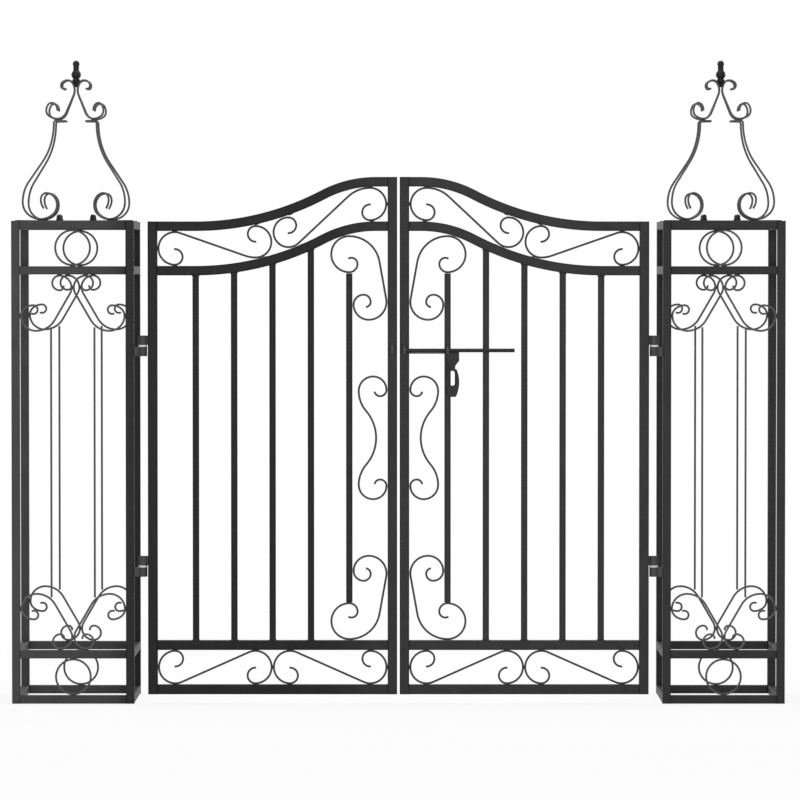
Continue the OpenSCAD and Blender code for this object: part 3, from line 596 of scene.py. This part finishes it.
# %% [markdown]
# ## Cap nuts on the crowns
# Four cap nuts hold each cross to the frame under it. A cap nut is a hexagon with a dome. The hexagon is a
# six-sided cylinder with bevelled edges. The dome is a ring that is extruded upwards and drawn in step by
# step, then merged to a point and closed underneath.

# %% The hexagon of a cap nut
NUT_FLAT, NUT_TALL, NUT_EDGE = 7.8, 2.8, 0.35
bpy.ops.object.select_all(action="DESELECT")
bpy.ops.mesh.primitive_cylinder_add(
    vertices=6, radius=NUT_FLAT / math.sqrt(3) * MM, depth=NUT_TALL * MM)
nut = bpy.context.object
nut.name = "cap_nut"
nut.location.z = NUT_TALL / 2 * MM
bpy.ops.object.transform_apply(location=True, rotation=True, scale=True)
bpy.ops.object.mode_set(mode="EDIT")
round_edges(NUT_EDGE)
bpy.ops.object.mode_set(mode="OBJECT")
print("hexagon faces:", len(nut.data.polygons))

# %% The dome of a cap nut
DOME_R, DOME_TALL, DOME_SINK, DOME_STEPS, DOME_TIP = 3.6, 6.8, 0.4, 6, 0.02


def extrude_up(rise):
    """In edit mode, extrude the selected ring upwards by a rise in metres."""
    bpy.ops.mesh.extrude_region_move(TRANSFORM_OT_translate={"value": (0, 0, rise)})


bpy.ops.object.select_all(action="DESELECT")
bpy.ops.mesh.primitive_circle_add(vertices=24, radius=DOME_R * MM, fill_type="NOTHING")
dome = bpy.context.object
bpy.ops.object.mode_set(mode="EDIT")
bpy.ops.mesh.select_all(action="SELECT")
bpy.ops.transform.translate(value=(0, 0, (NUT_TALL - DOME_SINK) * MM))
extrude_up((DOME_TALL - DOME_R + DOME_SINK) * MM)
for step in range(1, DOME_STEPS + 1):
    before, now = (math.pi / 2 * at / DOME_STEPS for at in (step - 1, step))
    shrink = max(DOME_TIP, math.cos(now)) / math.cos(before)
    extrude_up(DOME_R * (math.sin(now) - math.sin(before)) * MM)
    bpy.ops.transform.resize(value=(shrink, shrink, 1.0))
bpy.ops.mesh.merge(type="CENTER")
pick_vertices(lambda co: co.z < (NUT_TALL - DOME_SINK / 2) * MM)
bpy.ops.mesh.edge_face_add()
bpy.ops.mesh.select_all(action="SELECT")
bpy.ops.mesh.normals_make_consistent(inside=False)
bpy.ops.object.mode_set(mode="OBJECT")
only(nut, dome)
bpy.ops.object.join()
print("cap nut height:", round(nut.dimensions.z / MM, 2), "mm")

# %% Nuts on both crowns
NUT_REACH = 33.0
for side in SIDES:
    places = []
    for degrees in CROWN_TURNS:
        turn = math.radians(degrees)
        x, y = NUT_REACH * math.cos(turn), PILLAR_AXIS_Y + NUT_REACH * math.sin(turn)
        places.append(Matrix.Translation(on_side(side, x, y, CROSS_TOP)) @ Matrix.Rotation(turn, 4, "Z"))
    nuts = set_down(nut, places, f"{side}_crown_nuts")
    hand_over(nuts, "pillars", cast_coat)
put_away(nut)

# %% [markdown]
# ## Rim round the slot in the handle
# The drop of the bolt's handle has a slot for a padlock, and the edge of the slot is rolled over on both
# faces. A torus whose upper half is moved up becomes a long ring of the slot's shape.

# %% Slot rim
SLOT_WIDE, SLOT_LONG, SLOT_MARGIN = 8.0, 24.0, 2.0
HANDLE_LONG, DROP_SHARE = 70.0, 0.38
RIM_OUT, RIM_R = 0.5, 0.75
slot_mid_x = (handle_low.x + handle_high.x) / 2
slot_drop = DROP_SHARE * HANDLE_LONG + SLOT_MARGIN + SLOT_LONG - SLOT_WIDE / 2
slot_low = handle_high.z - slot_drop * MM
bpy.ops.object.select_all(action="DESELECT")
bpy.ops.mesh.primitive_torus_add(
    major_radius=(SLOT_WIDE / 2 + RIM_OUT) * MM, minor_radius=RIM_R * MM,
    major_segments=40, minor_segments=10)
rim = bpy.context.object
bpy.ops.object.mode_set(mode="EDIT")
picked = pick_vertices(lambda co: co.y > 0.001 * MM)
bpy.ops.transform.translate(value=(0, (SLOT_LONG - SLOT_WIDE) * MM, 0))
bpy.ops.object.mode_set(mode="OBJECT")
upright = Matrix.Rotation(math.pi / 2, 4, "X")
faces = (handle_low.y, handle_high.y)
places = [Matrix.Translation((slot_mid_x, y, slot_low)) @ upright for y in faces]
rims = set_down(rim, places, "handle_slot_rims")
hand_over(rims, "bolt", cast_coat)
put_away(rim)
print("rim vertices moved:", picked)

# %% [markdown]
# ## Floor and world
# The gate stands on a plain pale floor that fades to white away from it, so no horizon shows. Floor and
# world are white to the camera and in reflections, and soft to all other rays, so the white adds no light.

# %% Rays that show the white surroundings
def seen_directly(tree):
    """A socket that is 1 for rays from the camera, from a reflection and through glass."""
    rays = node_at(tree, "ShaderNodeLightPath", -1100, 400)
    either = node_at(tree, "ShaderNodeMath", -850, 400, operation="MAXIMUM")
    any_of = node_at(tree, "ShaderNodeMath", -650, 400, operation="MAXIMUM")
    tree.links.new(rays.outputs["Is Camera Ray"], either.inputs[0])
    tree.links.new(rays.outputs["Is Glossy Ray"], either.inputs[1])
    tree.links.new(either.outputs["Value"], any_of.inputs[0])
    tree.links.new(rays.outputs["Is Transmission Ray"], any_of.inputs[1])
    return any_of.outputs["Value"]


# %% Floor
FLOOR_SIZE, FLOOR_GREY = 40, (0.93, 0.93, 0.93, 1)
FADE_NEAR, FADE_FAR, NEAR_WHITE = 0.7, 2.2, 0.88
bpy.ops.object.select_all(action="DESELECT")
bpy.ops.mesh.primitive_plane_add(size=FLOOR_SIZE, location=(GATE_MID * MM, 0, 0))
floor = bpy.context.object
floor.name = "floor"
bpy.ops.object.transform_apply(location=True, rotation=True, scale=True)
print("floor size:", FLOOR_SIZE, "m")

# %% Pale paint for the floor
pale = bpy.data.materials.new("pale_floor")
pale.use_nodes = True
tree = pale.node_tree
tree.nodes.remove(tree.nodes["Principled BSDF"])
matt = node_at(tree, "ShaderNodeBsdfDiffuse", -300, 150)
matt.inputs["Color"].default_value = FLOOR_GREY
glow = node_at(tree, "ShaderNodeEmission", -300, -50)
glow.inputs["Strength"].default_value = 1.0
place = node_at(tree, "ShaderNodeTexCoord", -1100, 0)
centre = node_at(tree, "ShaderNodeMapping", -900, 0)
centre.inputs["Location"].default_value = (-GATE_MID * MM, 0, 0)
reach = node_at(tree, "ShaderNodeVectorMath", -700, 0, operation="LENGTH")
fade = node_at(tree, "ShaderNodeMapRange", -500, 0)
fade.inputs["From Min"].default_value = FADE_NEAR
fade.inputs["From Max"].default_value = FADE_FAR
fade.inputs["To Min"].default_value = NEAR_WHITE
blend = node_at(tree, "ShaderNodeMixShader", -50, 0)
shown = node_at(tree, "ShaderNodeMath", -250, 350, operation="MULTIPLY")
tree.links.new(place.outputs["Object"], centre.inputs["Vector"])
tree.links.new(centre.outputs["Vector"], reach.inputs[0])
tree.links.new(reach.outputs["Value"], fade.inputs["Value"])
tree.links.new(seen_directly(tree), shown.inputs[0])
tree.links.new(fade.outputs["Result"], shown.inputs[1])
tree.links.new(shown.outputs["Value"], blend.inputs["Fac"])
tree.links.new(matt.outputs["BSDF"], blend.inputs[1])
tree.links.new(glow.outputs["Emission"], blend.inputs[2])
tree.links.new(blend.outputs["Shader"], tree.nodes["Material Output"].inputs["Surface"])
floor.data.materials.append(pale)
print("floor paint nodes:", len(tree.nodes))

# %% World
WHITE, SOFT_LIGHT = (1, 1, 1, 1), 0.12
world = bpy.data.worlds.new("studio")
bpy.context.scene.world = world
world.use_nodes = True
tree = world.node_tree
soft = tree.nodes["Background"]
soft.inputs["Color"].default_value = WHITE
soft.inputs["Strength"].default_value = SOFT_LIGHT
white = node_at(tree, "ShaderNodeBackground", -200, -150)
white.inputs["Color"].default_value = WHITE
white.inputs["Strength"].default_value = 1.0
choose = node_at(tree, "ShaderNodeMixShader", 100, 0)
tree.links.new(seen_directly(tree), choose.inputs["Fac"])
tree.links.new(soft.outputs["Background"], choose.inputs[1])
tree.links.new(white.outputs["Background"], choose.inputs[2])
tree.links.new(choose.outputs["Shader"], tree.nodes["World Output"].inputs["Surface"])
print("world nodes:", len(tree.nodes))

# %% [markdown]
# ## Lamps
# Two large lamps in front, one above and two behind light the gate. Large discs far away give soft shade
# on thin bars, and the rear pair keeps the back of the gate readable. Each row is a name, a place, the
# point it aims at, a width in metres and a power in watts.

# %% Place the lamps
LAMPS = (
    ("key", (-0.2, -5.0, 0.9), (0.4, 0, 0.4), 1.6, 58),
    ("fill", (1.2, -5.0, 0.8), (0.6, 0, 0.4), 1.6, 34),
    ("sky", (0.5, 0.3, 3.2), (0.5, 0.1, 0), 2.0, 75),
    ("left_rear", (-3.0, 3.5, 1.8), (0.3, 0.1, 0.5), 2.0, 70),
    ("right_rear", (4.0, 3.5, 1.8), (0.7, 0.1, 0.5), 2.0, 70),
)
for name, place, aim, size, power in LAMPS:
    lamp = bpy.data.objects.new(name, bpy.data.lights.new(name, "AREA"))
    lamp.data.shape = "DISK"
    lamp.data.size = size
    lamp.data.energy = power
    lamp.location = place
    lamp.rotation_euler = (Vector(aim) - Vector(place)).to_track_quat("-Z", "Y").to_euler()
    bpy.context.scene.collection.objects.link(lamp)
print("lamps:", [row[0] for row in LAMPS])

# %% [markdown]
# ## Camera
# The camera stands far back with a long lens, as in a product photograph, above the middle of the gate and
# tilted slightly down. The back frame of a pillar then shows just beside the front one.

# %% Place the camera
CAMERA_X, CAMERA_BACK, CAMERA_HEIGHT, CAMERA_TILT = 0.516, 7.4, 0.685, 1.59
LENS, SENSOR = 211.2, 36
lens = bpy.data.cameras.new("camera")
lens.lens = LENS
lens.sensor_width = SENSOR
lens.sensor_fit = "HORIZONTAL"
camera = bpy.data.objects.new("camera", lens)
camera.location = (CAMERA_X, -CAMERA_BACK, CAMERA_HEIGHT)
camera.rotation_euler = (math.radians(90 - CAMERA_TILT), 0, 0)
bpy.context.scene.collection.objects.link(camera)
bpy.context.scene.camera = camera
bpy.context.scene.view_settings.view_transform = "Standard"
print("camera", CAMERA_BACK, "m in front of the gate")
